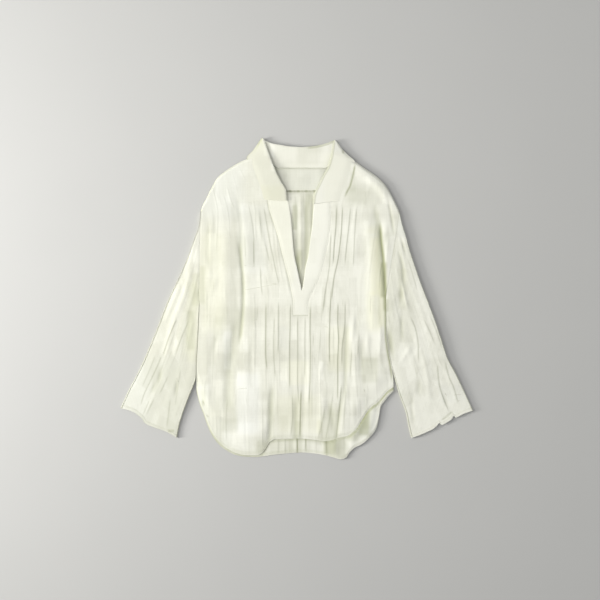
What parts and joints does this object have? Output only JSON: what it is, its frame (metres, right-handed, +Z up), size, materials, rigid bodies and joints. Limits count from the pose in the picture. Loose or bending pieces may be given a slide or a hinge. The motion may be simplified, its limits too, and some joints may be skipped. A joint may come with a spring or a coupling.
{
  "type": "pull-over tunic laid flat",
  "caption": "Loose voile pull-over tunic laid flat on its back: deep V neck with smooth facing and squared tab, spread collar, drop-shoulder sleeves, pleated front, longer shirt-tail back.",
  "frame": {"origin": "middle of the footprint, on the surface that the tunic lies on", "axes": "+X from the sleeve on the left to the sleeve on the right as seen from above, +Y towards the collar, +Z up off the surface"},
  "size_m": [0.793, 0.7206, 0.0146],
  "materials": {
    "voile_body": "sheer crinkled ivory voile with a shadow check",
    "voile_sleeve": "sheer crinkled ivory voile with a shadow check",
    "facing": "smooth pressed ivory voile, double",
    "collar": "smooth pressed ivory voile, double"
  },
  "bodies": {
    "root": {"back_panel": "voile_body", "back_yoke": "voile_body", "front_panel": "voile_body", "placket_facing": "facing", "collar": "collar", "sleeve_left": "voile_sleeve", "sleeve_right": "voile_sleeve"}
  },
  "joints": []
}
